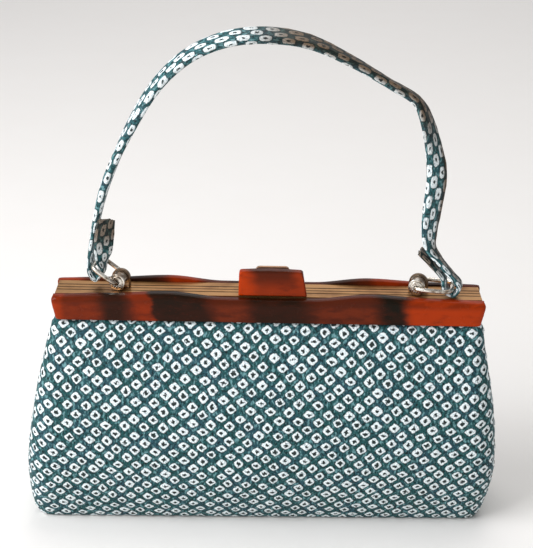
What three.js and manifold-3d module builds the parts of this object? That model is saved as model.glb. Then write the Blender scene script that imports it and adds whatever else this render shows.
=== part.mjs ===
// Silk frame handbag, millimetres, +Z up. The origin is on the floor under the middle of the bag,
// +X runs along the frame to the right and +Y away from the front.
import * as THREE from 'three';
import { mergeVertices } from 'three/addons/utils/BufferGeometryUtils.js';
import Module from 'manifold-3d';

const wasm = await Module();
wasm.setup();

const { degToRad, lerp, smoothstep } = THREE.MathUtils;
const quarterTurn = Math.PI / 2;

// Gap that neighbours keep
const clearance = 0.3;

// Frame bars: outer size of the closed frame and the bar's own section
const barHalfLength = 112.5;
const frameHalfDepth = 14.3;
const barThickness = 5.6;
const barBottom = 114.3;
const barTop = 127;
const barShoulderDrop = 3.4;
const barShoulderDepth = 2.5;
const barLowerRound = 0.7;
const barInnerBevel = 0.5;
const barLipThickness = 2.2;
const barLipTop = 120.2;
const barEndSlant = 1.9;
const barEndRound = 3;
const barEndShare = 0.42;
const barEndPlaces = [0, 0.3, 1];
const barMiddleSteps = 24;
const barShoulderSteps = 3;

// Rise of the bar's upper edge above barTop, from the middle to one end
const barWave = [
  { x: 0, rise: -0.4 },
  { x: 24, rise: -0.2 },
  { x: 53, rise: 2.5 },
  { x: 86, rise: 0.9 },
  { x: barHalfLength, rise: 0 },
];

// Brass channels
const channelHalfLength = 111;
const channelTop = 127;
const channelPlate = 2.4;
const channelPart = 0.2;
const channelOuter = frameHalfDepth - barThickness - clearance;
const channelLeg = 1.5;
const channelLegBottom = 114.8;
const channelLegHalfLength = 101;
const grooveAt = 3.2;
const grooveWidth = 0.6;
const grooveDepth = 0.7;

// Hinge at each end of the frame, inside the pouch
const hingeHeight = 112;
const hingePinRadius = 1.2;
const hingeTabThickness = 1.6;
const hingeTabInner = 97.6;
const hingeTabHalfWidth = 3;
const hingeTabTop = 119;
const hingePinReach = 0.9;

// Pouch: a row for each height, seen from above as a round-cornered box. Its foot stands to the left.
const wall = 2;
const pouchRows = [
  { z: 0, shift: -1.6, halfWidth: 118.2, halfDepth: 18.8, corner: 6, bulge: 0, tuck: 0 },
  { z: 0.8, shift: -1.6, halfWidth: 119.9, halfDepth: 20.4, corner: 7.5, bulge: 0.3, tuck: 0 },
  { z: 3, shift: -1.6, halfWidth: 121.5, halfDepth: 22.2, corner: 9, bulge: 0.8, tuck: 0 },
  { z: 9, shift: -1.5, halfWidth: 123.2, halfDepth: 25.8, corner: 11.5, bulge: 1.6, tuck: 0 },
  { z: 20, shift: -0.6, halfWidth: 124.6, halfDepth: 30.6, corner: 13.5, bulge: 2.4, tuck: 0.4 },
  { z: 34, shift: 0, halfWidth: 125.2, halfDepth: 33.8, corner: 14, bulge: 2.9, tuck: 1.4 },
  { z: 48, shift: 0, halfWidth: 124.2, halfDepth: 34.4, corner: 14, bulge: 3, tuck: 2.8 },
  { z: 66, shift: 0, halfWidth: 121.8, halfDepth: 32.6, corner: 13.5, bulge: 2.7, tuck: 4.6 },
  { z: 84, shift: 0, halfWidth: 118.7, halfDepth: 27.8, corner: 12, bulge: 2, tuck: 6.4 },
  { z: 98, shift: 0, halfWidth: 115.8, halfDepth: 22, corner: 10, bulge: 1.3, tuck: 7.2 },
  { z: 107, shift: 0, halfWidth: 113.9, halfDepth: 17.4, corner: 8, bulge: 0.8, tuck: 6.6 },
  { z: 111.6, shift: 0, halfWidth: 112.8, halfDepth: 14.4, corner: 6, bulge: 0.3, tuck: 5.6 },
  { z: 114, shift: 0, halfWidth: 111.4, halfDepth: 11.7, corner: 5, bulge: 0, tuck: 5 },
  { z: 119.8, shift: 0, halfWidth: 109.5, halfDepth: 11.6, corner: 5, bulge: 0, tuck: 4.4 },
];
const faceSteps = 16;
const cornerSteps = 3;
const sideSteps = 5;

// Clasp: block and lever stand over the channels, the knuckle is on the rear one. The block's left side is
// steeper than its right one.
const claspX = 1.8;
const blockFootLeft = -17.5;
const blockFootRight = 18.1;
const blockHeadLeft = -17.3;
const blockHeadRight = 16;
const blockBottom = 127.3;
const blockTop = 141.6;
const blockArch = 0.5;
const blockCornerRadius = 2;
const blockFront = -9.4;
const blockThickness = 4.9;
const blockBevel = 0.9;
const leverHalfWidth = 8.9;
const leverTop = 141.9;
const leverThickness = 1.6;
const leverCornerRadius = 2.4;
const leverFootBottom = 127.7;
const leverFootThickness = 1.4;
const knuckleY = 2.7;
const knuckleZ = 129.4;
const knuckleRadius = 1.9;
const knuckleHalfLength = 5.5;
const claspPinRadius = 0.85;
const earThickness = 1.8;
const earHalfDepth = 1.7;

// Barrels and bails: one at each side, turned about the vertical, each bail at its own slope
const barrelX = 78;
const barrelZ = 131.8;
const barrelHalfLength = 5.6;
const barrelRadius = 3.9;
const barrelFlange = 4.4;
const barrelFlangeThickness = 1.3;
const barrelFlangeStep = 0.4;
const barrelBoss = 3.3;
const barrelBossHeight = 0.7;
const barrelBore = 1.5;
const barrelTurn = degToRad(-14);
const bandThickness = 0.85;
const bandStart = 1.8;
const bandWidth = 1.4;
const bailWire = 1.15;
const bailHalfWidth = 7.4;
const bailBelly = 0.2;
const bailBar = 4.7;
const bailPinDepth = 2.6;
const bailElbow = 0.55;
const bailElbowReach = 2.6;
const bailCornerShare = 0.3;
const bailSteps = 30;
const bails = [
  { side: 'left', sign: -1, length: 15, slope: degToRad(33) },
  { side: 'right', sign: 1, length: 18, slope: degToRad(2) },
];

// Handle strap from the left tail's end to the right tail's end. lean and tip are how far the strap's
// width turns from +Y towards +X and +Z.
const strapStepsPerRow = 2;
const strapEdgeShare = 0.6;
const strapRows = [
  { x: -83.4, y: -4.3, z: 166.4, lean: 2, tip: 0, width: 9.2, thick: 2.4 },
  { x: -85, y: -3.9, z: 157, lean: 3, tip: 0, width: 10.4, thick: 2.4 },
  { x: -85.9, y: -1.6, z: 147.5, lean: 1.6, tip: 0, width: 10.2, thick: 2.4 },
  { x: -86.8, y: 2.4, z: 139.5, lean: 0.4, tip: 0, width: 9, thick: 2.4 },
  { x: -87.5, y: 3, z: 134.4, lean: 0.25, tip: 0, width: 9, thick: 2.4 },
  { x: -90.2, y: 3, z: 131.2, lean: 0.25, tip: 0, width: 9, thick: 2.4 },
  { x: -92.9, y: 3, z: 134.4, lean: 0.25, tip: 0, width: 9, thick: 2.4 },
  { x: -93.2, y: 3, z: 140, lean: 0.25, tip: 0, width: 9, thick: 2.4 },
  { x: -92.2, y: 2.6, z: 148, lean: 0.2, tip: 0, width: 9, thick: 2.6 },
  { x: -90.6, y: 2, z: 158, lean: 0.12, tip: 0, width: 9.6, thick: 3 },
  { x: -88.2, y: 1.2, z: 169, lean: 0.08, tip: 0, width: 10.4, thick: 3.5 },
  { x: -85, y: 0.4, z: 181, lean: 0.09, tip: 0, width: 11, thick: 4 },
  { x: -80.2, y: 0, z: 194, lean: 0.1, tip: 0, width: 11, thick: 4.1 },
  { x: -69.9, y: 0, z: 216, lean: -0.18, tip: 0.1, width: 11, thick: 4.1 },
  { x: -56.6, y: 0, z: 237.4, lean: -0.2, tip: 0.22, width: 11, thick: 4.1 },
  { x: -40.4, y: 0, z: 252.4, lean: -0.18, tip: 0.34, width: 11, thick: 4.1 },
  { x: -21.4, y: 0, z: 260.5, lean: -0.1, tip: 0.46, width: 11, thick: 4.1 },
  { x: -2, y: 0, z: 262.4, lean: 0, tip: 0.5, width: 11, thick: 4.1 },
  { x: 17.6, y: 0, z: 259.6, lean: 0.06, tip: 0.27, width: 11, thick: 4.1 },
  { x: 37.5, y: 0, z: 250.9, lean: 0, tip: 0.07, width: 11, thick: 4.1 },
  { x: 57.8, y: 0, z: 239.3, lean: 0, tip: -0.08, width: 11, thick: 4.1 },
  { x: 71.4, y: 0, z: 231.2, lean: 0.05, tip: 0.04, width: 11, thick: 4.1 },
  { x: 75.6, y: -0.4, z: 225, lean: 0.3, tip: 0.15, width: 11, thick: 4.1 },
  { x: 80.7, y: -1, z: 210, lean: 0.85, tip: 0.1, width: 11, thick: 4.1 },
  { x: 83.9, y: -2, z: 192.5, lean: 1.6, tip: 0, width: 12, thick: 4.1 },
  { x: 82.9, y: -2.4, z: 176.4, lean: 1.6, tip: 0, width: 11.6, thick: 3.8 },
  { x: 82, y: -2.4, z: 163, lean: 1.2, tip: 0, width: 10.8, thick: 3.4 },
  { x: 83.2, y: -2.6, z: 153.6, lean: 0.7, tip: 0, width: 9.8, thick: 2.8 },
  { x: 88.4, y: -3.4, z: 146.4, lean: 0.3, tip: 0, width: 9, thick: 2.6 },
  { x: 94.4, y: -4.2, z: 139.4, lean: 0.25, tip: 0, width: 9, thick: 2.6 },
  { x: 99.2, y: -4.6, z: 133.2, lean: 0.25, tip: 0, width: 9, thick: 2.6 },
  { x: 96.8, y: -4.6, z: 129.1, lean: 0.25, tip: 0, width: 9, thick: 2.6 },
  { x: 92, y: -4.2, z: 131.2, lean: 0.25, tip: 0, width: 9, thick: 2.6 },
  { x: 90.6, y: -3.8, z: 137.7, lean: 0.25, tip: 0, width: 9, thick: 2.6 },
  { x: 85.4, y: -3.2, z: 144, lean: 0.25, tip: 0, width: 9, thick: 2.6 },
  { x: 78, y: -2.4, z: 151.4, lean: 0.3, tip: 0, width: 9, thick: 2.6 },
];

const pinSegments = 16;
const wireSegments = 8;
const barrelSegments = 16;
const bandSegments = 10;
const plateCornerSegments = 4;

// Materials
const silk = new THREE.MeshStandardMaterial({ color: 0x2f5358, roughness: 0.75, metalness: 0 });
const tortoise = new THREE.MeshStandardMaterial({ color: 0x8a3216, roughness: 0.2, metalness: 0 });
const brass = new THREE.MeshStandardMaterial({ color: 0xb08a50, roughness: 0.35, metalness: 1 });
const leverMetal = new THREE.MeshStandardMaterial({ color: 0xa08c78, roughness: 0.4, metalness: 1 });
const silver = new THREE.MeshStandardMaterial({ color: 0xb9b4a8, roughness: 0.25, metalness: 1 });

const axisX = new THREE.Vector3(1, 0, 0);
const axisY = new THREE.Vector3(0, 1, 0);
const axisZ = new THREE.Vector3(0, 0, 1);

const bag = new THREE.Group();

function addPiece(name, geometry, material) {
  const mesh = new THREE.Mesh(geometry, material);
  mesh.name = name;
  bag.add(mesh);
  return mesh;
}

// Triangles of a flat ring of points, by their numbers in the ring
function ringTriangles(ring) {
  const normal = new THREE.Vector3();
  ring.forEach((point, k) => normal.add(point.clone().cross(ring[(k + 1) % ring.length])));
  const across = ring[1].clone().sub(ring[0]).normalize();
  const upward = normal.normalize().clone().cross(across);
  const flat = ring.map((point) => new THREE.Vector2(point.dot(across), point.dot(upward)));
  return THREE.ShapeUtils.triangulateShape(flat, []);
}

// Skin over rings that have the same number of points, with a flat cap on the first and the last
function loft(rings) {
  const count = rings[0].length;
  const index = [];
  for (let r = 0; r + 1 < rings.length; r += 1) {
    for (let k = 0; k < count; k += 1) {
      const here = r * count + k;
      const next = r * count + ((k + 1) % count);
      index.push(here, next, here + count, next, next + count, here + count);
    }
  }
  for (const [a, b, c] of ringTriangles(rings[0])) {
    index.push(a, c, b);
  }
  const last = (rings.length - 1) * count;
  for (const [a, b, c] of ringTriangles(rings[rings.length - 1])) {
    index.push(last + a, last + b, last + c);
  }
  const geometry = new THREE.BufferGeometry();
  const numbers = rings.flat().flatMap((point) => point.toArray());
  geometry.setAttribute('position', new THREE.Float32BufferAttribute(numbers, 3));
  geometry.setIndex(index);
  return geometry;
}

function solidOf(geometry) {
  const bare = geometry.clone();
  bare.deleteAttribute('normal');
  bare.deleteAttribute('uv');
  const merged = mergeVertices(bare, 1e-4);
  return new wasm.Manifold(new wasm.Mesh({
    numProp: 3,
    vertProperties: new Float32Array(merged.attributes.position.array),
    triVerts: new Uint32Array(merged.index.array),
  }));
}

function geometryOf(solid) {
  const mesh = solid.getMesh();
  const geometry = new THREE.BufferGeometry();
  geometry.setAttribute('position', new THREE.Float32BufferAttribute(mesh.vertProperties, 3));
  geometry.setIndex(new THREE.Uint32BufferAttribute(mesh.triVerts, 1));
  return geometry;
}

function joined(geometries) {
  return geometries.map(solidOf).reduce((sum, solid) => sum.add(solid));
}

function box(low, high) {
  const size = high.map((value, k) => value - low[k]);
  const geometry = new THREE.BoxGeometry(...size);
  geometry.translate(...low.map((value, k) => value + size[k] / 2));
  return geometry;
}

// Rod along X between two places
function rodX(radius, from, to, y, z) {
  const geometry = new THREE.CylinderGeometry(radius, radius, to - from, pinSegments);
  geometry.rotateZ(quarterTurn);
  geometry.translate((from + to) / 2, y, z);
  return geometry;
}

// Value of one column of a table at a place along it, smooth between the rows
function columnAt(rows, place, at, column) {
  const next = rows.findIndex((row) => row[place] >= at);
  if (next <= 0) return rows[next < 0 ? rows.length - 1 : 0][column];
  const before = rows[next - 1];
  const after = rows[next];
  const share = (at - before[place]) / (after[place] - before[place]);
  return lerp(before[column], after[column], smoothstep(share, 0, 1));
}

// Pouch ring seen from above: two faces, four round corners and two tucked sides
function pouchRing(row, inset, z) {
  const halfWidth = row.halfWidth - inset;
  const sideDepth = row.halfDepth - row.bulge - inset;
  const corner = Math.max(row.corner - inset, wall);
  const straight = halfWidth - corner;
  const flank = sideDepth - corner;
  const ring = [];
  for (const sign of [1, -1]) {
    const add = (x, y) => ring.push(new THREE.Vector3(sign * x + row.shift, sign * y, z));
    for (let k = 0; k <= faceSteps; k += 1) {
      const share = 2 * (k / faceSteps) - 1;
      add(share * straight, -sideDepth - row.bulge * (1 - share * share));
    }
    for (let k = 1; k < cornerSteps; k += 1) {
      const turn = (k / cornerSteps) * quarterTurn;
      add(straight + corner * Math.sin(turn), -flank - corner * Math.cos(turn));
    }
    for (let k = 0; k <= sideSteps; k += 1) {
      const share = 2 * (k / sideSteps) - 1;
      add(halfWidth - row.tuck * (1 - share * share) ** 2, share * flank);
    }
    for (let k = 1; k < cornerSteps; k += 1) {
      const turn = (k / cornerSteps) * quarterTurn;
      add(straight + corner * Math.cos(turn), flank + corner * Math.sin(turn));
    }
  }
  return ring;
}

function pouch() {
  const outer = pouchRows.map((row) => pouchRing(row, 0, row.z));
  const inner = pouchRows.filter((row) => row.z > wall).map((row) => pouchRing(row, wall, row.z));
  const floor = pouchRing(pouchRows[1], wall, wall);
  return loft([...outer, ...inner.reverse(), floor]);
}

// Bar section at one place along it, front bar, from the inner lip up the inside and down the front
function barSection(x, inset) {
  const top = barTop + columnAt(barWave, 'x', Math.abs(x), 'rise');
  const front = -frameHalfDepth + inset;
  const inside = -frameHalfDepth + barThickness;
  const lip = -frameHalfDepth + barLipThickness;
  const section = [
    { y: lip, z: barBottom },
    { y: lip, z: barLipTop },
    { y: inside, z: barLipTop },
    { y: inside, z: top - barInnerBevel },
    { y: inside - barInnerBevel, z: top },
  ];
  for (let k = 0; k <= barShoulderSteps; k += 1) {
    const turn = (k / barShoulderSteps) * quarterTurn;
    section.push({
      y: front + barShoulderDepth * (1 - Math.sin(turn)),
      z: top - barShoulderDrop * (1 - Math.cos(turn)),
    });
  }
  for (const turn of [0, quarterTurn / 2, quarterTurn]) {
    section.push({
      y: front + barLowerRound * (1 - Math.cos(turn)),
      z: barBottom + barLowerRound * (1 - Math.sin(turn)),
    });
  }
  return section;
}

function bar() {
  const straight = barHalfLength - barEndRound;
  const places = barEndPlaces.map((share) => share * barEndRound - barHalfLength);
  for (let k = 1; k < barMiddleSteps; k += 1) {
    places.push((2 * (k / barMiddleSteps) - 1) * straight);
  }
  for (const share of [...barEndPlaces].reverse()) {
    places.push(barHalfLength - share * barEndRound);
  }
  const rings = places.map((x) => {
    const short = Math.max(Math.abs(x) - straight, 0);
    const inset = barEndRound - Math.sqrt(barEndRound ** 2 - short ** 2);
    return barSection(x, inset * barEndShare).map(({ y, z }) => {
      const slant = 1 - (barEndSlant / barHalfLength) * ((barTop - z) / (barTop - barBottom));
      return new THREE.Vector3(x * slant, y, z);
    });
  });
  return loft(rings);
}

// Channel on the front side: grooved plate, leg behind the cloth's edge and a hinge tab near each end
function channelSolid(tabFrom) {
  const section = new THREE.Shape();
  section.moveTo(-channelOuter, channelTop);
  section.lineTo(-channelOuter, channelTop - channelPlate);
  section.lineTo(-channelPart, channelTop - channelPlate);
  section.lineTo(-channelPart, channelTop);
  section.lineTo(-grooveAt + grooveWidth / 2, channelTop);
  section.lineTo(-grooveAt + grooveWidth / 2, channelTop - grooveDepth);
  section.lineTo(-grooveAt - grooveWidth / 2, channelTop - grooveDepth);
  section.lineTo(-grooveAt - grooveWidth / 2, channelTop);
  const plate = new THREE.ExtrudeGeometry(section, { depth: 2 * channelHalfLength, bevelEnabled: false });
  plate.translate(0, 0, -channelHalfLength);
  plate.applyMatrix4(new THREE.Matrix4().makeBasis(axisY, axisZ, axisX));
  const legTop = channelTop - channelPlate / 2;
  const leg = box(
    [-channelLegHalfLength, -channelOuter, channelLegBottom],
    [channelLegHalfLength, -channelOuter + channelLeg, legTop],
  );
  const tabs = [-1, 1].map((sign) => {
    const near = sign * tabFrom;
    const far = sign * (tabFrom + hingeTabThickness);
    return box(
      [Math.min(near, far), -channelOuter + channelLeg / 2, hingeHeight - hingeTabHalfWidth],
      [Math.max(near, far), hingeTabHalfWidth, hingeTabTop],
    );
  });
  const bore = rodX(hingePinRadius + clearance, -channelHalfLength, channelHalfLength, 0, hingeHeight);
  return joined([plate, leg, ...tabs]).subtract(solidOf(bore));
}

function claspBore() {
  return solidOf(rodX(
    claspPinRadius + clearance,
    claspX - leverHalfWidth,
    claspX + leverHalfWidth,
    knuckleY,
    knuckleZ,
  ));
}

// The rear channel is the front one turned round, with the clasp's ears and the barrels' bands soldered on
function rearChannelSolid() {
  const turned = geometryOf(channelSolid(hingeTabInner + hingeTabThickness + clearance));
  turned.rotateZ(Math.PI);
  const extras = [];
  for (const sign of [-1, 1]) {
    const near = claspX + sign * (knuckleHalfLength + clearance);
    const far = near + sign * earThickness;
    const from = Math.min(near, far);
    const to = Math.max(near, far);
    extras.push(box(
      [from, knuckleY - earHalfDepth, channelTop - channelPlate / 2],
      [to, knuckleY + earHalfDepth, knuckleZ],
    ));
    extras.push(rodX(earHalfDepth, from, to, knuckleY, knuckleZ));
    extras.push(band(sign * barrelX));
  }
  return joined([turned, ...extras]).subtract(claspBore());
}

// Band that straps a barrel's waist to the rear channel
function band(x) {
  const inner = barrelRadius + clearance;
  const outer = inner + bandThickness;
  const foot = channelTop - channelPlate / 2 - barrelZ;
  const outline = new THREE.Shape();
  outline.moveTo(outer, foot);
  outline.lineTo(outer, 0);
  outline.absarc(0, 0, outer, 0, Math.PI, false);
  outline.lineTo(-outer, foot);
  outline.lineTo(-inner, foot);
  outline.lineTo(-inner, 0);
  outline.absarc(0, 0, inner, Math.PI, 0, true);
  outline.lineTo(inner, foot);
  const geometry = new THREE.ExtrudeGeometry(outline, {
    depth: bandWidth,
    bevelEnabled: false,
    curveSegments: bandSegments,
  });
  geometry.translate(0, 0, -bandStart - bandWidth);
  geometry.rotateX(quarterTurn);
  geometry.rotateZ(barrelTurn);
  geometry.translate(x, 0, barrelZ);
  return geometry;
}

// Plate outline in X and Z, given thickness from its front face backwards
function standingPlate(outline, front, thickness, bevel) {
  const geometry = new THREE.ExtrudeGeometry(outline, {
    depth: thickness - 2 * bevel,
    bevelEnabled: bevel > 0,
    bevelThickness: bevel,
    bevelSize: bevel,
    bevelOffset: -bevel,
    bevelSegments: 2,
    curveSegments: plateCornerSegments,
  });
  geometry.translate(claspX, 0, bevel - thickness);
  geometry.rotateX(quarterTurn);
  geometry.translate(0, front, 0);
  return geometry;
}

function claspBlock() {
  const outline = new THREE.Shape();
  const corner = blockTop - blockArch;
  const middle = (blockHeadLeft + blockHeadRight) / 2;
  outline.moveTo(blockFootLeft, blockBottom);
  outline.lineTo(blockFootRight, blockBottom);
  outline.lineTo(blockHeadRight, corner - blockCornerRadius);
  outline.quadraticCurveTo(blockHeadRight, corner, blockHeadRight - blockCornerRadius, corner);
  outline.quadraticCurveTo(middle, blockTop + blockArch, blockHeadLeft + blockCornerRadius, corner);
  outline.quadraticCurveTo(blockHeadLeft, corner, blockHeadLeft, corner - blockCornerRadius);
  return standingPlate(outline, blockFront, blockThickness, blockBevel);
}

// Upright plate with a foot that runs back to the knuckle
function claspLever() {
  const front = blockFront + blockThickness + clearance;
  const cornerX = leverHalfWidth - leverCornerRadius;
  const cornerZ = leverTop - leverCornerRadius;
  const outline = new THREE.Shape();
  outline.moveTo(-leverHalfWidth, leverFootBottom);
  outline.lineTo(leverHalfWidth, leverFootBottom);
  outline.lineTo(leverHalfWidth, cornerZ);
  outline.absarc(cornerX, cornerZ, leverCornerRadius, 0, quarterTurn, false);
  outline.absarc(-cornerX, cornerZ, leverCornerRadius, quarterTurn, Math.PI, false);
  const plate = standingPlate(outline, front, leverThickness, 0);
  const from = claspX - knuckleHalfLength;
  const to = claspX + knuckleHalfLength;
  const foot = box(
    [from, front + leverThickness / 2, leverFootBottom],
    [to, knuckleY, leverFootBottom + leverFootThickness],
  );
  const knuckle = rodX(knuckleRadius, from, to, knuckleY, knuckleZ);
  return joined([plate, foot, knuckle]).subtract(claspBore());
}

// Drum with a face boss and a flange at each end, bored along its length
function barrel() {
  const flangeOut = barrelHalfLength - barrelBossHeight;
  const flangeIn = flangeOut - barrelFlangeThickness;
  const half = [
    [barrelBore, barrelHalfLength],
    [barrelBoss, barrelHalfLength],
    [barrelBoss, flangeOut],
    [barrelFlange, flangeOut],
    [barrelFlange, flangeIn],
    [barrelRadius, flangeIn - barrelFlangeStep],
  ];
  const profile = half.map(([radius, along]) => new THREE.Vector2(radius, -along));
  for (const [radius, along] of [...half].reverse()) {
    profile.push(new THREE.Vector2(radius, along));
  }
  profile.push(profile[0].clone());
  return new THREE.LatheGeometry(profile, barrelSegments);
}

// Bent wire from one end of the barrel round the strap's loop to the other end, bail lying along +X
function bail(length) {
  const bend = bailHalfWidth - bailBar;
  const cornerCut = bend * bailCornerShare;
  const half = [
    [0, barrelHalfLength - bailPinDepth],
    [0, barrelHalfLength],
    [bailElbow, bailHalfWidth - bailElbow],
    [bailElbowReach, bailHalfWidth],
    [length / 2, bailHalfWidth + bailBelly],
    [length - bend, bailHalfWidth],
    [length - cornerCut, bailHalfWidth - cornerCut],
    [length, bailBar],
    [length, bailBar / 2],
  ];
  const route = half.map(([along, across]) => new THREE.Vector3(along, -across, 0));
  for (const [along, across] of [...half].reverse()) {
    route.push(new THREE.Vector3(along, across, 0));
  }
  const section = new THREE.Shape().absarc(0, 0, bailWire, 0, 2 * Math.PI, false);
  return new THREE.ExtrudeGeometry(section, {
    steps: bailSteps,
    curveSegments: wireSegments / 2,
    extrudePath: new THREE.CatmullRomCurve3(route, false, 'centripetal'),
  });
}

// Strap section across its length: a soft-edged band
function strapRing(centre, along, row) {
  const across = new THREE.Vector3(row.lean, 1, row.tip);
  across.addScaledVector(along, -across.dot(along)).normalize();
  const outward = along.clone().cross(across);
  const halfWidth = row.width / 2;
  const halfThick = row.thick / 2;
  const edge = halfThick * strapEdgeShare;
  const section = [
    [-halfWidth, -halfThick + edge],
    [-halfWidth + edge, -halfThick],
    [halfWidth - edge, -halfThick],
    [halfWidth, -halfThick + edge],
    [halfWidth, halfThick - edge],
    [halfWidth - edge, halfThick],
    [-halfWidth + edge, halfThick],
    [-halfWidth, halfThick - edge],
  ];
  return section.map(([wide, thick]) => (
    centre.clone().addScaledVector(across, wide).addScaledVector(outward, thick)
  ));
}

function handleStrap() {
  const points = strapRows.map(({ x, y, z }) => new THREE.Vector3(x, y, z));
  const route = new THREE.CatmullRomCurve3(points, false, 'centripetal');
  const spans = strapRows.length - 1;
  const steps = spans * strapStepsPerRow;
  const rings = [];
  for (let k = 0; k <= steps; k += 1) {
    const span = Math.min(Math.floor(k / strapStepsPerRow), spans - 1);
    const share = k / strapStepsPerRow - span;
    const row = {};
    for (const column of ['lean', 'tip', 'width', 'thick']) {
      row[column] = lerp(strapRows[span][column], strapRows[span + 1][column], share);
    }
    rings.push(strapRing(route.getPoint(k / steps), route.getTangent(k / steps), row));
  }
  return loft(rings);
}

addPiece('pouch', pouch(), silk);

const barGeometry = bar();
addPiece('front_bar', barGeometry, tortoise);
addPiece('rear_bar', barGeometry, tortoise).rotation.z = Math.PI;

addPiece('front_channel', geometryOf(channelSolid(hingeTabInner)), brass);
addPiece('rear_channel', geometryOf(rearChannelSolid()), brass);

const hingeFrom = hingeTabInner - hingePinReach;
const hingeTo = hingeTabInner + 2 * hingeTabThickness + clearance + hingePinReach;
addPiece('hinge_pin_left', rodX(hingePinRadius, -hingeTo, -hingeFrom, 0, hingeHeight), brass);
addPiece('hinge_pin_right', rodX(hingePinRadius, hingeFrom, hingeTo, 0, hingeHeight), brass);

addPiece('clasp_block', claspBlock(), tortoise);
addPiece('clasp_lever', geometryOf(claspLever()), leverMetal);
const claspPinReach = knuckleHalfLength + clearance + earThickness;
const claspPin = rodX(claspPinRadius, claspX - claspPinReach, claspX + claspPinReach, knuckleY, knuckleZ);
addPiece('clasp_pin', claspPin, leverMetal);

for (const { side, sign, length, slope } of bails) {
  const turned = new THREE.Group();
  turned.position.set(sign * barrelX, 0, barrelZ);
  turned.rotation.z = barrelTurn;
  const drum = addPiece(`barrel_${side}`, barrel(), silver);
  const wire = addPiece(`bail_${side}`, bail(length), silver);
  wire.rotation.order = 'ZYX';
  wire.rotation.set(0, -slope, sign < 0 ? Math.PI : 0);
  turned.add(drum, wire);
  bag.add(turned);
}

addPiece('handle_strap', handleStrap(), silk);

export default bag;
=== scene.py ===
import math
from itertools import accumulate, pairwise

import bmesh
import bpy
from mathutils import Matrix, Vector, noise


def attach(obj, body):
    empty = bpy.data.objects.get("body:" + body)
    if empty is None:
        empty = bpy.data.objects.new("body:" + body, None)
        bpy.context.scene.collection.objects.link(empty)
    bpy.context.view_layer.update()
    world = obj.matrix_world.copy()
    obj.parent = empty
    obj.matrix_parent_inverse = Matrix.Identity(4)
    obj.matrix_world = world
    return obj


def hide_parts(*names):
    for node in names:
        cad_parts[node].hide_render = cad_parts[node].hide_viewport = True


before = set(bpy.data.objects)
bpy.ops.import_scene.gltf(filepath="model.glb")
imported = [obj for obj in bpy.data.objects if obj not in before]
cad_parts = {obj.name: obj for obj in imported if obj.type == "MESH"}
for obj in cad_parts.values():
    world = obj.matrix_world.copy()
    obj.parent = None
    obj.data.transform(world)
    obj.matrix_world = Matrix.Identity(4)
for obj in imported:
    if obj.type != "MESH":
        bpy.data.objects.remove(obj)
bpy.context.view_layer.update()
scene = bpy.context.scene
mm = 0.001                  # in metres
perMetre = 1000             # millimetres
weld = 1e-6                 # metres within which points become one
noise.seed_set(7)           # the same cloth in every run
print("frame loaded:", len(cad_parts), "nodes")


# camera at the photograph's angle
cameraSet = {
    "elevation": 22.99,     # degrees above the horizon
    "roll": 1.0,            # degrees, the right side hangs a little lower
    "distance": 734.1,      # mm from the target
    "target": (-1.3, 0.0, 136.1),
    "focalPixels": 1405.7,  # for an image of this width
    "imageWidth": 533,
    "sensor": 36.0,
    "clip": (0.01, 50),
}


def makeCamera(spec):
    data = bpy.data.cameras.new("camera")
    data.sensor_fit = "HORIZONTAL"
    data.sensor_width = spec["sensor"]
    data.lens = spec["sensor"] * spec["focalPixels"] / spec["imageWidth"]
    data.clip_start, data.clip_end = spec["clip"]
    camera = bpy.data.objects.new("camera", data)
    scene.collection.objects.link(camera)
    rise = math.radians(spec["elevation"])
    turn = math.radians(spec["roll"])
    forward = Vector((0, math.cos(rise), -math.sin(rise)))
    level = Vector((1, 0, 0))
    upright = level.cross(forward)
    right = level * math.cos(turn) + upright * math.sin(turn)
    up = upright * math.cos(turn) - level * math.sin(turn)
    place = (Vector(spec["target"]) - forward * spec["distance"]) * mm
    axes = Matrix((right, up, -forward)).transposed().to_4x4()
    camera.matrix_world = Matrix.Translation(place) @ axes
    scene.camera = camera


makeCamera(cameraSet)
print("camera set")


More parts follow.
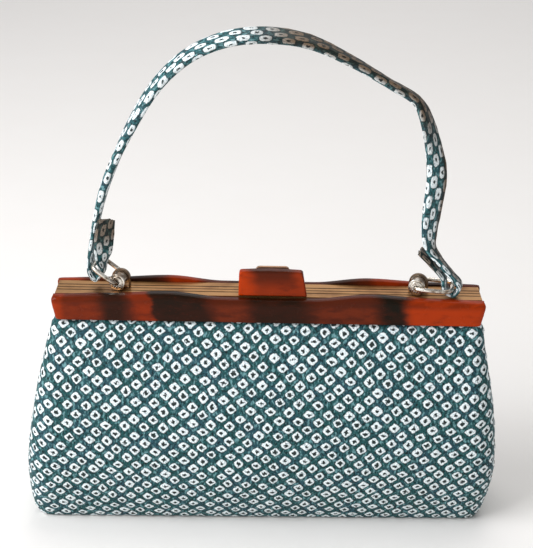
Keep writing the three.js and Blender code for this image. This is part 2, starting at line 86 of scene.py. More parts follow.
# node wiring: a socket that takes part in plain Python arithmetic
class Wire:
    def __init__(self, tree, socket=None):
        self.tree = tree
        self.socket = socket

    def add(self, kind, settings=None, sockets=None, out=0):
        node = self.tree.nodes.new(kind)
        for key, value in (settings or {}).items():
            setattr(node, key, value)
        for key, value in (sockets or {}).items():
            if isinstance(value, Wire):
                self.tree.links.new(value.socket, node.inputs[key])
            else:
                node.inputs[key].default_value = value
        return Wire(self.tree, node.outputs[out] if node.outputs else None)

    def out(self, which):
        return Wire(self.tree, self.socket.node.outputs[which])

    def axes(self):  # the three parts of this vector
        split = self.add("ShaderNodeSeparateXYZ", None, {0: self})
        return [split.out(k) for k in range(3)]

    def math(self, operation, first, second=0.0):
        return self.add("ShaderNodeMath", {"operation": operation}, {0: first, 1: second})

    def __add__(self, other):
        return self.math("ADD", self, other)

    __radd__ = __add__

    def __sub__(self, other):
        return self.math("SUBTRACT", self, other)

    def __rsub__(self, other):
        return self.math("SUBTRACT", other, self)

    def __mul__(self, other):
        return self.math("MULTIPLY", self, other)

    def __pow__(self, other):
        return self.math("POWER", self, other)

    def __abs__(self):
        return self.math("ABSOLUTE", self)

    def rounded(self):
        return self.math("ROUND", self)

    def ease(self, low, high):  # 0 below low, 1 above high, smooth between
        return self.add(
            "ShaderNodeMapRange",
            {"interpolation_type": "SMOOTHSTEP"},
            {"Value": self, "From Min": low, "From Max": high},
        )

    def between(self, low, lowSoft, high, highSoft):  # 1 from low to high, with soft ends
        started = self.ease(low - lowSoft, low + lowSoft)
        ended = self.ease(high - highSoft, high + highSoft)
        return started * (1 - ended)

    def tint(self, dark, light, blend="MIX"):  # this value mixes two colours
        settings = {"data_type": "RGBA", "blend_type": blend}
        return self.add("ShaderNodeMix", settings, {0: self, 6: dark, 7: light}, 2)

    def grain(self, scale, detail, rough):  # noise on this vector
        return self.add("ShaderNodeTexNoise", None, {
            "Vector": self, "Scale": scale, "Detail": detail, "Roughness": rough})

    def streaks(self, scales, detail, rough):  # noise with a scale for each axis
        stretched = self.add("ShaderNodeMapping", None, {"Vector": self, "Scale": scales})
        return stretched.grain(1.0, detail, rough)

    def bump(self, strength, distance):  # this value as a height
        return self.add("ShaderNodeBump", None, {
            "Strength": strength, "Distance": distance, "Height": self})


def rgb(red, green, blue):  # screen colour, 0 to 255, as a linear colour
    def linear(value):
        value /= 255
        return value / 12.92 if value <= 0.04045 else ((value + 0.055) / 1.055) ** 2.4
    return (linear(red), linear(green), linear(blue), 1.0)


def newFinish(name):
    material = bpy.data.materials.new(name)
    material.use_nodes = True
    tree = material.node_tree
    tree.nodes.clear()
    return material, Wire(tree)


def closeFinish(start, sockets):
    shader = start.add("ShaderNodeBsdfPrincipled", None, sockets)
    start.add("ShaderNodeOutputMaterial", None, {"Surface": shader})


def objectPlace(start):
    return start.add("ShaderNodeTexCoord", None, None, "Object")


# tie-dyed dot silk: the uv map named dots counts cells of the dot lattice, cloth is in millimetres
silkLook = {
    "ground": rgb(29, 82, 83),
    "groundDark": rgb(6, 25, 28),
    "groundBlue": rgb(38, 78, 90),
    "streak": rgb(112, 158, 162),
    "ring": rgb(238, 245, 245),
    "ringShade": rgb(178, 196, 204),
    "centre": rgb(36, 44, 42),
    "wander": 0.14,         # of a cell
    "corner": 4.4,          # 2 is a round dot, more is squarer
    "sides": ((1.0, 0.0), (0.0, 1.0)),  # a dot's two half widths, as shares of the lattice's two steps
    "lean": 0.22,           # how far a dot may be skewed
    "dotReach": 0.316, "dotDraw": 0.05, "dotWobble": 0.24,
    "dotGrain": (3.3, 3.0, 0.65), "dotEdge": (-0.03, 0.035),
    "centreReach": 0.138, "centreDraw": 0.06, "centreWobble": 0.42,
    "centreGrain": (5.2, 2.0, 0.6), "centreEdge": (-0.03, 0.04), "centreShare": 0.85,
    "rimShadeEdge": (0.0, 0.12), "rimShadeShare": 0.7,  # painted shade: the ground is darker round a dot, where the raised dot shades it
    "threads": ((1.3, 0.5, 1), 2.0, 0.6), "threadEdge": (0.56, 0.72), "threadShare": 0.55,
    "weave": ((0.85, 0.6, 1), 3.0, 0.7), "weaveEdge": (0.36, 0.58),
    "flecks": ((0.62, 0.34, 1), 2.0, 0.6), "fleckEdge": (0.5, 0.68), "fleckShare": 0.85,
    "crepe": (1.2, 2.0, 0.7), "crepeEdge": (0.32, 0.56),
    "clouds": (0.09, 2.0, 0.5), "cloudEdge": (0.42, 0.66),
    "relief": (0.6, 0.35, 0.3),  # of rings, weave and crepe
    "bump": (0.6, 0.00035),  # strength, and metres
    "roughness": 0.75, "ringPolish": 0.08, "gloss": 0.25, "sheen": 0.05, "sheenRoughness": 0.4,
    "soilAndShade": [], "soilAndShadeColour": rgb(104, 72, 36), "soilAndShadeEdge": (0.7, 1.2),
}
strapLook = dict(
    silkLook, ground=rgb(31, 90, 94), dotReach=0.385, centreReach=0.11, corner=3.2,
    sides=((0.99, -0.72), (0.48, 0.87)),
    roughness=0.5, gloss=0.3, sheen=0.01,
    soilAndShade=[                  # (from, to, softness) along, (middle, reach) round the strap, strength; the first two rows are painted shade at the tail ends, the others darken stretches of the handle to brown
        (-20, 15, 8, 13, 60, 0.9), (424, 460, 8, 13, 60, 0.9),
        (212, 318, 18, 13, 8.6, 0.95), (318, 420, 12, 6.2, 5.0, 0.95),
        (376, 403, 6, 12, 4.6, 0.8)])


def silkFinish(name, look):
    material, start = newFinish(name)
    cell = start.add("ShaderNodeUVMap", {"uv_map": "dots"})
    cloth = start.add("ShaderNodeUVMap", {"uv_map": "cloth"})
    along, across, _ = cell.axes()
    cellAlong, cellAcross = along.rounded(), across.rounded()
    cellPlace = start.add("ShaderNodeCombineXYZ", None, {0: cellAlong, 1: cellAcross})
    chance = start.add("ShaderNodeTexWhiteNoise", {"noise_dimensions": "3D"}, {"Vector": cellPlace})
    draws = start.add("ShaderNodeSeparateColor", None, {0: chance.out(1)})
    first, second, third = [draws.out(k) - 0.5 for k in range(3)]  # each the same all over a cell
    fromAlong = along - cellAlong + first * look["wander"]
    fromAcross = across - cellAcross + second * look["wander"]
    (ownA, otherA), (otherB, ownB) = look["sides"]
    offAlong = abs(fromAlong * ownA + fromAcross * (third * look["lean"] + otherA))
    offAcross = abs(fromAcross * ownB + fromAlong * (first * look["lean"] + otherB))
    power = look["corner"]
    reach = (offAlong ** power + offAcross ** power) ** (1 / power)
    wobble = cell.grain(*look["dotGrain"]) - 0.5
    ripple = cell.grain(*look["centreGrain"]) - 0.5
    outer = reach - look["dotReach"] - third * look["dotDraw"] - wobble * look["dotWobble"]
    inner = reach - look["centreReach"] - first * look["centreDraw"] - ripple * look["centreWobble"]
    dot = 1 - outer.ease(*look["dotEdge"])
    thread = cloth.streaks(*look["threads"]).ease(*look["threadEdge"])
    ring = dot * inner.ease(*look["centreEdge"]) * (1 - thread * look["threadShare"])
    weave = cloth.streaks(*look["weave"])
    fleck = cloth.streaks(*look["flecks"]).ease(*look["fleckEdge"])
    crepe = cloth.grain(*look["crepe"])
    cloudy = cloth.grain(*look["clouds"]).ease(*look["cloudEdge"])
    # painted shade: the ground darkens round each dot
    rimShade = look["rimShadeShare"] - outer.ease(*look["rimShadeEdge"]) * look["rimShadeShare"]
    ground = cloudy.tint(look["ground"], look["groundBlue"])
    ground = weave.ease(*look["weaveEdge"]).tint(look["groundDark"], ground)
    ground = (fleck * look["fleckShare"]).tint(ground, look["streak"])
    ground = rimShade.tint(ground, look["groundDark"])
    ground = (dot * look["centreShare"]).tint(ground, look["centre"])
    white = crepe.ease(*look["crepeEdge"]).tint(look["ringShade"], look["ring"])
    colour = ring.tint(ground, white)
    roundStrap, alongStrap, _ = cloth.axes()
    near, far = look["soilAndShadeEdge"]
    # brown patches multiplied on: painted shade at the tail ends, and a darker brown on stretches of the
    # handle
    for low, high, soft, middle, spread, strength in look["soilAndShade"]:
        beside = abs(roundStrap - middle).ease(spread * near, spread * far)
        soiledAndShaded = alongStrap.between(low, soft, high, soft) * (1 - beside) * strength
        colour = soiledAndShaded.tint(colour, look["soilAndShadeColour"], "MULTIPLY")
    ringRelief, weaveRelief, crepeRelief = look["relief"]
    height = ring * ringRelief + weave * weaveRelief + crepe * crepeRelief
    closeFinish(start, {
        "Base Color": colour, "Normal": height.bump(*look["bump"]),
        "Roughness": look["roughness"] - ring * look["ringPolish"], "Specular IOR Level": look["gloss"],
        "Sheen Weight": look["sheen"], "Sheen Roughness": look["sheenRoughness"],
    })
    return material


# tortoise look: blotches are (from, its softness, to, its softness, lean, strength), mm along the bar
tortoiseLook = {
    "body": rgb(100, 36, 13),
    "bodyDeep": rgb(75, 26, 10),
    "amber": rgb(174, 53, 3),
    "dark": rgb(19, 13, 5),
    "swirl": ((55, 150, 150), 3.0, 0.6), "swirlReach": 9,  # mm that the blotches' edges wander
    "leanFrom": 121,        # mm of height at which a leaning blotch is in its place
    "smoke": ((90, 260, 260), 4.0, 0.55), "smokeEdge": (0.35, 0.65),
    "amberEdge": (0.15, 0.5),
    "darkEdge": (0.3, 0.6), "darkLeast": 0.75,
    "upperEdge": (0.3, 0.62), "upperShare": 0.5,
    "flecks": ((420, 1200, 1200), 2.0, 0.5), "fleckEdge": (0.6, 0.75), "fleckShare": 0.05,
    "wear": (240.0, 3.0, 0.6), "wearEdge": (0.35, 0.75), "wearSpread": 0.14,
    "roughness": 0.16, "ior": 1.5, "gloss": 0.08, "coat": 0.04, "coatRoughness": 0.05,
}
frontBlotches = {
    "dark": [
        (-86.5, 4, -73.6, 4, 0.1, 0.85), (-60, 1.5, -30, 5, 0.32, 0.92),
        (-9, 4, 22, 8, 0.25, 0.88), (57, 5, 70.5, 3, 0.1, 1.0)],
    "amber": [
        # the first row is painted light: the bar's left end glows orange where light passes through it
        (-116, 1, -106.5, 2, 0, 0.5), (-106.5, 2, -88, 4, 0, 0.15), (-70, 3, -60, 1.5, 0.32, 0.34),
        (73, 4, 118, 1, 0.1, 0.8)],
    "fade": (0, 1),         # heights in mm between which the dark sets in, here below the bar
    "shoulder": (122.2, 125.6),  # heights in mm between which the upper edge darkens
}
rearBlotches = {
    "dark": [
        (-78, 4, -54, 6, 0.5, 0.8), (-24, 5, 8, 8, -0.5, 0.9),
        (30, 4, 48, 4, 0.3, 0.7), (84, 4, 98, 4, 0.3, 0.9)],
    "amber": [(-116, 1, -100, 4, 0, 0.7), (-50, 4, -34, 4, 0.4, 0.7), (52, 4, 74, 4, -0.3, 0.6)],
    "fade": (0, 1),
    "shoulder": (122.2, 125.6),
}
blockBlotches = {
    "dark": [(-7, 6, 16, 4, 0.2, 0.7)],
    "amber": [(-20, 1, -1, 7, 0.4, 1.0), (2, 4, 24, 1, 0.4, 0.45)],
    "fade": (129, 139),
    "shoulder": (139.6, 141.5),
}


def tortoiseFinish(name, look, blotches):
    material, start = newFinish(name)
    place = objectPlace(start)
    x, _, z = place.axes()
    swirl = place.streaks(*look["swirl"])
    lengthwise = x * perMetre + (swirl - 0.5) * look["swirlReach"]
    height = z * perMetre

    def mask(rows):
        total = None
        for low, lowSoft, high, highSoft, lean, strength in rows:
            shifted = lengthwise + (height - look["leanFrom"]) * lean
            patch = shifted.between(low, lowSoft, high, highSoft) * strength
            total = patch if total is None else total + patch
        return total.math("MINIMUM", total, 1.0)

    smoke = place.streaks(*look["smoke"])
    colour = smoke.ease(*look["smokeEdge"]).tint(look["bodyDeep"], look["body"])
    amber = mask(blotches["amber"]) * smoke.ease(*look["amberEdge"])
    colour = amber.tint(colour, look["amber"])
    least = look["darkLeast"]
    depth = least + smoke.ease(*look["darkEdge"]) * (1 - least)
    dark = mask(blotches["dark"]) * height.ease(*blotches["fade"]) * depth
    colour = dark.tint(colour, look["dark"])
    upper = height.ease(*blotches["shoulder"]) * smoke.ease(*look["upperEdge"]) * look["upperShare"]
    colour = upper.tint(colour, look["dark"])
    flecks = place.streaks(*look["flecks"]).ease(*look["fleckEdge"])
    colour = (flecks * look["fleckShare"]).tint(colour, look["amber"])
    wear = place.grain(*look["wear"]).ease(*look["wearEdge"])
    closeFinish(start, {
        "Base Color": colour, "Roughness": look["roughness"] + wear * look["wearSpread"],
        "IOR": look["ior"], "Specular IOR Level": look["gloss"],
        "Coat Weight": look["coat"], "Coat Roughness": look["coatRoughness"],
    })
    return material


# metals: satin brass with long brush lines, worn silver, warm lever
metalLooks = {
    "brass": {
        "light": rgb(192, 144, 92), "dull": rgb(132, 88, 48), "lines": (10, 500, 500), "patch": 40.0,
        "share": (0.4, 0.75), "rough": 0.32, "spread": 0.14, "depth": 0.15},
    "silver": {
        "light": rgb(226, 220, 210), "dull": rgb(128, 110, 92), "lines": (260, 260, 260), "patch": 210.0,
        "share": (0.42, 0.66), "rough": 0.14, "spread": 0.2, "depth": 0.18},
    "lever": {
        "light": rgb(200, 158, 126), "dull": rgb(168, 128, 100), "lines": (700, 700, 16), "patch": 90.0,
        "share": (0.35, 0.7), "rough": 0.36, "spread": 0.14, "depth": 0.15},
}
metalGrain = {              # alike for all three
    "lines": (3.0, 0.6), "lineEdge": (0.5, 0.8), "lineShare": 0.3,
    "patch": (4.0, 0.6), "patchRelief": 0.5,
    "bump": 0.00008,        # metres
}
tarnish = {
    "colour": rgb(58, 42, 28), "share": 0.85,
    "lines": (0.0, 3.5), "reach": (0.28, 0.62),  # dark grooves, mm from the frame's middle
    "silverFrom": (127.3, 128.0),  # heights in mm between which the soldered bands begin
}


def metalFinish(name, look, grooved=False):
    material, start = newFinish(name)
    place = objectPlace(start)
    lines = place.streaks(look["lines"], *metalGrain["lines"])
    patch = place.grain(look["patch"], *metalGrain["patch"])
    colour = patch.ease(*look["share"]).tint(look["light"], look["dull"])
    brushed = lines.ease(*metalGrain["lineEdge"]) * metalGrain["lineShare"]
    colour = brushed.tint(colour, look["dull"])
    if grooved:             # dark grooves along the plates, and silver bands soldered on them
        _, y, z = place.axes()
        fromMiddle = abs(y) * perMetre
        for line in tarnish["lines"]:
            groove = 1 - abs(fromMiddle - line).ease(*tarnish["reach"])
            colour = (groove * tarnish["share"]).tint(colour, tarnish["colour"])
        bands = (z * perMetre).ease(*tarnish["silverFrom"])
        colour = bands.tint(colour, metalLooks["silver"]["dull"])
    height = lines + patch * metalGrain["patchRelief"]
    spread = look["spread"] / 2
    closeFinish(start, {
        "Base Color": colour, "Metallic": 1.0,
        "Normal": height.bump(look["depth"], metalGrain["bump"]),
        "Roughness": look["rough"] + lines * spread + patch * spread,
    })
    return material


pouchSilk = silkFinish("pouchSilk", silkLook)
strapSilk = silkFinish("strapSilk", strapLook)
frontTortoise = tortoiseFinish("frontTortoise", tortoiseLook, frontBlotches)
rearTortoise = tortoiseFinish("rearTortoise", tortoiseLook, rearBlotches)
blockTortoise = tortoiseFinish("blockTortoise", tortoiseLook, blockBlotches)
brass = metalFinish("satinBrass", metalLooks["brass"], grooved=True)
silver = metalFinish("wornSilver", metalLooks["silver"])
leverMetal = metalFinish("leverMetal", metalLooks["lever"])
print("finishes ready")


# shared modelling helpers
def clamp(value):
    return min(1.0, max(0.0, value))


def sums(steps):  # running total from 0
    return list(accumulate(steps, initial=0.0))


def quarter(steps):  # cosine and sine at even steps of a quarter turn
    angles = [k / steps * math.pi / 2 for k in range(steps + 1)]
    return [(math.cos(a), math.sin(a)) for a in angles]


def alongTable(places, rows, at):
    # value of each column at a place along a table, by a smooth curve through its rows
    k = 0
    while k + 2 < len(places) and places[k + 1] <= at:
        k += 1
    span = places[k + 1] - places[k]
    lead = places[k] - places[k - 1] if k > 0 else span
    trail = places[k + 2] - places[k + 1] if k + 2 < len(places) else span
    t = (at - places[k]) / span
    found = []
    for column in range(len(rows[0])):
        b, c = rows[k][column], rows[k + 1][column]
        a = rows[k - 1][column] if k > 0 else 2 * b - c
        d = rows[k + 2][column] if k + 2 < len(rows) else 2 * c - b
        slopeB = ((b - a) / lead - (c - a) / (lead + span) + (c - b) / span) * span
        slopeC = ((c - b) / span - (d - b) / (span + trail) + (d - c) / trail) * span
        found.append(
            (2 * t ** 3 - 3 * t ** 2 + 1) * b + (t ** 3 - 2 * t ** 2 + t) * slopeB
            + (3 * t ** 2 - 2 * t ** 3) * c + (t ** 3 - t ** 2) * slopeC)
    return found


def lerpTable(rows, at):
    for (low, first), (high, second) in pairwise(rows):
        if at <= high:
            return first + (second - first) * max(0.0, (at - low) / (high - low))
    return rows[-1][1]


def movedGrid(columns, rows, place, maps=None):
    # a flat grid whose points are carried to place(column, row); maps fill uv layers first
    shape = bmesh.new()
    bmesh.ops.create_grid(shape, x_segments=columns, y_segments=rows, size=0.5)
    number = {}
    for vert in shape.verts:
        number[vert] = (round((vert.co.x + 0.5) * columns), round((vert.co.y + 0.5) * rows))
    for name, mapping in (maps or {}).items():
        layer = shape.loops.layers.uv.new(name)
        for face in shape.faces:
            firstColumn = min(number[vert][0] for vert in face.verts)
            for loop in face.loops:
                loop[layer].uv = mapping(*number[loop.vert], firstColumn)
    for vert in shape.verts:
        vert.co = place(*number[vert]) * mm
    bmesh.ops.remove_doubles(shape, verts=shape.verts[:], dist=weld)
    return shape


def closeEnds(shape, fan=False):
    rims = [edge for edge in shape.edges if edge.is_boundary]
    if rims:
        caps = bmesh.ops.holes_fill(shape, edges=rims, sides=0)["faces"]
        if fan:
            bmesh.ops.poke(shape, faces=caps)


def settle(name, shape, material, sharp=50):
    # mesh object at the origin, faces outward, smooth but for edges over sharp degrees
    bmesh.ops.recalc_face_normals(shape, faces=shape.faces[:])
    if shape.calc_volume(signed=True) < 0:
        bmesh.ops.reverse_faces(shape, faces=shape.faces[:])
    for face in shape.faces:
        face.smooth = True
    for edge in shape.edges:
        if len(edge.link_faces) == 2 and edge.calc_face_angle() > math.radians(sharp):
            edge.smooth = False
    data = bpy.data.meshes.new(name)
    shape.to_mesh(data)
    shape.free()
    data.materials.append(material)
    piece = bpy.data.objects.new(name, data)
    scene.collection.objects.link(piece)
    return piece


def stand(piece, body, node):
    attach(piece, body)
    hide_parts(node)
    return piece


# dots: a place on the cloth in cells of its lattice, and how far a dot stands up there
dotShape = {"corner": 2.5, "reach": 0.44}


def cellsOf(lattice, wide, tall):
    (ax, ay), (bx, by) = lattice
    size = ax * by - bx * ay
    return (by * wide - bx * tall) / size, (ax * tall - ay * wide) / size


def dotRise(cells):
    power = dotShape["corner"]
    offs = [abs(value - round(value)) for value in cells]
    reach = (offs[0] ** power + offs[1] ** power) ** (1 / power)
    return max(0.0, 1 - (reach / dotShape["reach"]) ** 2) ** 2


# pouch: rows from the base up are (z, half width, half depth, corner, bulge, tuck) in mm
pouchShape = {
    "rows": [
        (0, 118.2, 18.8, 6, 0, 0), (0.8, 119.9, 20.4, 7.5, 0.3, 0), (3, 121.5, 22.2, 9, 0.8, 0),
        (9, 123.2, 25.8, 11.5, 1.6, 0), (20, 124.6, 30.6, 13.5, 2.4, 0.4), (34, 125.2, 33.8, 14, 2.9, 1.4),
        (48, 124.2, 34.4, 14, 3, 2.8), (66, 121.8, 32.6, 13.5, 2.7, 4.6), (84, 118.7, 27.8, 12, 2, 6.4),
        (98, 115.8, 22, 10, 1.3, 7.2), (107, 113.9, 17.4, 8, 0.8, 6.6), (111.6, 112.8, 14.4, 6, 0.3, 5.6),
        (114, 111.4, 11.7, 5, 0, 5), (119.8, 109.5, 11.6, 5, 0, 4.4),
    ],
    "sideColumns": 12, "cornerColumns": 13, "faceColumns": 212,
    "wallRows": 112, "baseRows": 8, "liningRows": 30, "floorRows": 4,
    "liningFoot": 2,        # the row where the lining meets its floor
    "wall": 1.6, "leastCorner": 2.0,
    "baseRise": 0.9,        # the base panel is a little higher in its middle
    "endLift": 4.2, "liftFrom": 112.0,  # the sides rise to close the frame's ends
    "liftEdge": 0.92, "liftSoft": 0.3,
    "shift": [              # the body hangs a little to the left of its frame, by height
        (0, -3.6), (9, -3.5), (20, -2.8), (34, -2.05), (48, -1.8), (66, -1.5), (84, -1.4), (98, -1.1),
        (107, -0.5), (114, 0)],
    "twist": 0.9, "twistTop": 108,  # degrees that its foot is turned, its left end forwards
    "dotHeight": 0.42, "dotTop": 113,
    "dotSoft": 2,           # columns from a seam, or mm from an edge, over which the dots set in
    "sway": 0.5, "swaySize": (55, 42), "swaySeed": 9,  # slow unevenness of the faces
    "rumple": 0.35, "rumpleSize": (17, 30),  # a finer one, as a share of it
    "swayTop": 112.5, "swaySoft": 4,
    "seamDepth": 0.8, "seamWidth": 1.3,
    "latticeA": (4.9, -5.08), "latticeB": (5.2, 4.5),
    "warp": 1.1, "warpSize": 38, "warpSeed": 3.7,
    "pitchShare": [(0, 0.92), (12, 0.915), (28, 0.875), (44, 0.92), (62, 0.945), (80, 0.985), (98, 1.02)],
    "basePitch": 0.9,
    "fan": 0.0015, "fanFrom": 58.0,  # the columns of dots draw together towards the foot
    "backStart": 400.0,     # the back is cut from another place of the cloth
    "sharp": 80,
}


def makePouch(spec):
    rows = spec["rows"]
    places = sums(math.hypot(high[0] - low[0], high[2] - low[2]) for low, high in pairwise(rows))
    wallTotal = places[-1]
    stations = []           # one for each row of the grid

    def addStation(row, inset, shrink, z):
        stations.append({"row": row, "inset": inset, "shrink": shrink, "z": z})

    for k in range(spec["baseRows"]):
        addStation(rows[0], 0.0, 1 - k / spec["baseRows"], 0.0)
    for k in range(spec["wallRows"] + 1):
        row = alongTable(places, rows, wallTotal * k / spec["wallRows"])
        addStation(row, 0.0, 0.0, max(row[0], 0.0))
    foot = spec["liningFoot"]
    for k in range(spec["liningRows"]):
        down = (places[foot] - wallTotal) * k / (spec["liningRows"] - 1)
        row = alongTable(places, rows, wallTotal + down)
        addStation(row, spec["wall"], 0.0, row[0])
    for k in range(1, spec["floorRows"] + 1):
        addStation(rows[foot], spec["wall"], k / spec["floorRows"], rows[foot][0])
    outerEnd = spec["baseRows"] + spec["wallRows"]
    side, bend, face = spec["sideColumns"], spec["cornerColumns"], spec["faceColumns"]
    half = side * 2 + bend * 2 + face
    turn = math.pi / 2

    def ringPoint(station, column):
        # place and outward direction in plan, and lift, for a column counted from the left side's middle
        _, halfWidth, halfDepth, corner, bulge, tuck = station["row"]
        inset = station["inset"]
        corner = max(corner - inset, spec["leastCorner"])
        width, depth = halfWidth - inset, halfDepth - bulge - inset
        straight, flank = width - corner, depth - corner
        sign = 1 if column <= half else -1
        k = column if sign > 0 else column - half
        share = 1.0
        if k <= side:
            share = k / side
            x, y = -width + tuck * (1 - share ** 2) ** 2, -share * flank
            nx, ny = -1, 0
        elif k <= side + bend:
            a = (k - side) / bend * turn
            nx, ny = -math.cos(a), -math.sin(a)
            x, y = -straight + corner * nx, -flank + corner * ny
        elif k <= side + bend + face:
            over = 2 * (k - side - bend) / face - 1
            x, y = over * straight, -depth - bulge * (1 - over ** 2)
            nx, ny = 0, -1
        elif k <= side + 2 * bend + face:
            a = (k - side - bend - face) / bend * turn
            nx, ny = math.sin(a), -math.cos(a)
            x, y = straight + corner * nx, -flank + corner * ny
        else:
            share = 1 - (k - side - 2 * bend - face) / side
            x, y = width - tuck * (1 - share ** 2) ** 2, -share * flank
            nx, ny = 1, 0
        lift = clamp((spec["liftEdge"] - share) / spec["liftSoft"])
        return sign * x, sign * y, sign * nx, sign * ny, lift * lift * (3 - 2 * lift)

    # flat cloth measures: across from each face's middle, and down from the top edge
    across = []
    for station in stations:
        points = [Vector(ringPoint(station, column)[:2]) for column in range(2 * half + 1)]
        lengths = sums((b - a).length for a, b in pairwise(points))
        across.append((lengths, lengths[half // 2], lengths[half + half // 2]))
    tall, pattern = [0.0] * len(stations), [0.0] * len(stations)
    for k in reversed(range(outerEnd)):
        here = stations[k]
        if here["shrink"] > 0:
            step, share = here["row"][2] / spec["baseRows"], spec["basePitch"]
        else:
            step, share = wallTotal / spec["wallRows"], lerpTable(spec["pitchShare"], here["z"])
        tall[k] = tall[k + 1] - step
        pattern[k] = pattern[k + 1] - step / share

    def clothPlace(column, row, firstColumn):
        lengths, frontMiddle, backMiddle = across[row]
        if firstColumn < half:
            return lengths[column] - frontMiddle, tall[row]
        return lengths[column] - backMiddle, tall[row] + spec["backStart"]

    def cellPlace(column, row, firstColumn):
        wide, _ = clothPlace(column, row, firstColumn)
        deep = pattern[row]
        wide *= 1 + spec["fan"] * max(0.0, -deep - spec["fanFrom"])
        size, warp = spec["warpSize"], spec["warp"]
        wander = noise.noise_vector(Vector((wide / size, deep / size, spec["warpSeed"])))
        return cellsOf(
            (spec["latticeA"], spec["latticeB"]), wide + wander.x * warp, deep + wander.y * warp)

    def unevenness(x, y, z):
        (slowPlan, slowHeight), (finePlan, fineHeight) = spec["swaySize"], spec["rumpleSize"]
        slow = noise.noise(Vector((x / slowPlan, y / slowPlan + spec["swaySeed"], z / slowHeight)))
        fine = noise.noise(Vector((x / finePlan, y / finePlan, z / fineHeight)))
        return slow + spec["rumple"] * fine

    def hang(x, y, z):
        turned = math.radians(spec["twist"]) * max(0.0, 1 - z / spec["twistTop"])
        return Vector((x + lerpTable(spec["shift"], z), y + x * math.sin(turned), z))

    def place(column, row):
        station = stations[row]
        x, y, nx, ny, lift = ringPoint(station, column)
        shrink, z, outside = station["shrink"], station["z"], station["inset"] == 0.0
        if shrink > 0:      # the base panel outside, and the floor inside
            pull = station["row"][2] - station["inset"]
            reach = (abs(x) - pull * shrink) / abs(x) if abs(x) > pull else 1 - shrink
            rise = spec["baseRise"] * (1 - (1 - shrink) ** 2) if outside else 0.0
            return hang(x * max(reach, 0.0), y * (1 - shrink), z + rise)
        if outside:
            toSeam = min(column, abs(column - half), 2 * half - column)
            soft = spec["dotSoft"]
            flat = clamp(toSeam / soft) * clamp(z / soft) * clamp((spec["dotTop"] - z) / soft)
            fade = clamp((spec["swayTop"] - z) / spec["swaySoft"]) * clamp(z / spec["swaySoft"])
            cells = cellPlace(column, row, min(column, 2 * half - 1))
            rise = spec["dotHeight"] * dotRise(cells) * flat + spec["sway"] * unevenness(x, y, z) * fade
            rise -= spec["seamDepth"] * math.exp(-(toSeam / spec["seamWidth"]) ** 2) * fade
            x, y = x + nx * rise, y + ny * rise
        toTop = max(0.0, (z - spec["liftFrom"]) / (rows[-1][0] - spec["liftFrom"]))
        return hang(x, y, z + spec["endLift"] * lift * toTop ** 2)

    shape = movedGrid(2 * half, len(stations) - 1, place, {"dots": cellPlace, "cloth": clothPlace})
    closeEnds(shape)
    return settle("pouchBody", shape, pouchSilk, spec["sharp"])


pouch = stand(makePouch(pouchShape), "bag", "pouch")
print("pouch made:", len(pouch.data.polygons), "faces")


# bars: the section is in (y, z) mm for the front bar, the rear one is turned round
barShape = {
    "halfLength": 112.5, "frameHalfDepth": 14.3, "thickness": 5.6, "bottom": 114.3, "top": 127.0,
    "shoulderDrop": 3.4, "shoulderDepth": 2.5, "lowerRound": 0.7, "innerBevel": 0.5,
    "lip": 2.2, "lipTop": 120.2, "endRound": 3.0, "endShare": 0.42,
    "endSlant": 1.5, "slantPower": 1.5,
    "endFoot": 1.1, "endFootShare": 0.22, "endHead": 0.9, "endHeadShare": 0.16,
    "wave": [(0, -0.4), (24, -0.2), (53, 2.5), (86, 0.9), (112.5, 0.0)],  # (from the middle, rise)
    "middleSteps": 150, "endSteps": 8, "shoulderSteps": 12, "lowerSteps": 5, "bevelSteps": 3,
    "sharp": 40,
}


def barRise(wave, x):
    for (low, first), (high, second) in pairwise(wave):
        if x <= high:
            t = (x - low) / (high - low)
            return first + (second - first) * t * t * (3 - 2 * t)
    return wave[-1][1]


def barSection(spec, x, inset):
    top, bottom = spec["top"] + barRise(spec["wave"], abs(x)), spec["bottom"]
    front, inside, lip = [deep - spec["frameHalfDepth"] for deep in (inset, spec["thickness"], spec["lip"])]
    bevel, low = spec["innerBevel"], spec["lowerRound"]
    drop, depth = spec["shoulderDrop"], spec["shoulderDepth"]
    section = [(lip, bottom), (lip, spec["lipTop"]), (inside, spec["lipTop"])]
    section += [(inside - bevel * (1 - c), top - bevel * (1 - s)) for c, s in quarter(spec["bevelSteps"])]
    section += [(front + depth * (1 - s), top - drop * (1 - c)) for c, s in quarter(spec["shoulderSteps"])]
    section += [(front + low * (1 - c), bottom + low * (1 - s)) for c, s in quarter(spec["lowerSteps"])]
    return section


def makeBar(name, spec, material, turned):
    length, bend, count = spec["halfLength"], spec["endRound"], spec["middleSteps"]
    ends = [(-length + bend * (1 - c), bend * (1 - s)) for c, s in quarter(spec["endSteps"])[:-1]]
    middle = [((2 * k / count - 1) * (length - bend), 0.0) for k in range(count + 1)]
    places = ends + middle + [(-x, inset) for x, inset in reversed(ends)]
    sections = [barSection(spec, x, inset * spec["endShare"]) for x, inset in places]
    columns = len(sections[0])

    def place(column, row):
        y, z = sections[row][column % columns]
        up = (z - spec["bottom"]) / (spec["top"] - spec["bottom"])
        slant = spec["endSlant"] * max(1 - up, 0.0) ** spec["slantPower"]
        foot = max(0.0, 1 - up / spec["endFootShare"]) ** 2
        head = max(0.0, (up - 1) / spec["endHeadShare"] + 1) ** 2
        back = slant + spec["endFoot"] * foot + spec["endHead"] * min(head, 1.0)
        x = places[row][0] * (1 - back / length)
        return Vector((-x, -y, z)) if turned else Vector((x, y, z))

    shape = movedGrid(columns, len(places) - 1, place)
    closeEnds(shape)
    return settle(name, shape, material, spec["sharp"])


stand(makeBar("frontBar", barShape, frontTortoise, False), "bag", "front_bar")
stand(makeBar("rearBar", barShape, rearTortoise, True), "bag", "rear_bar")
print("bars made")


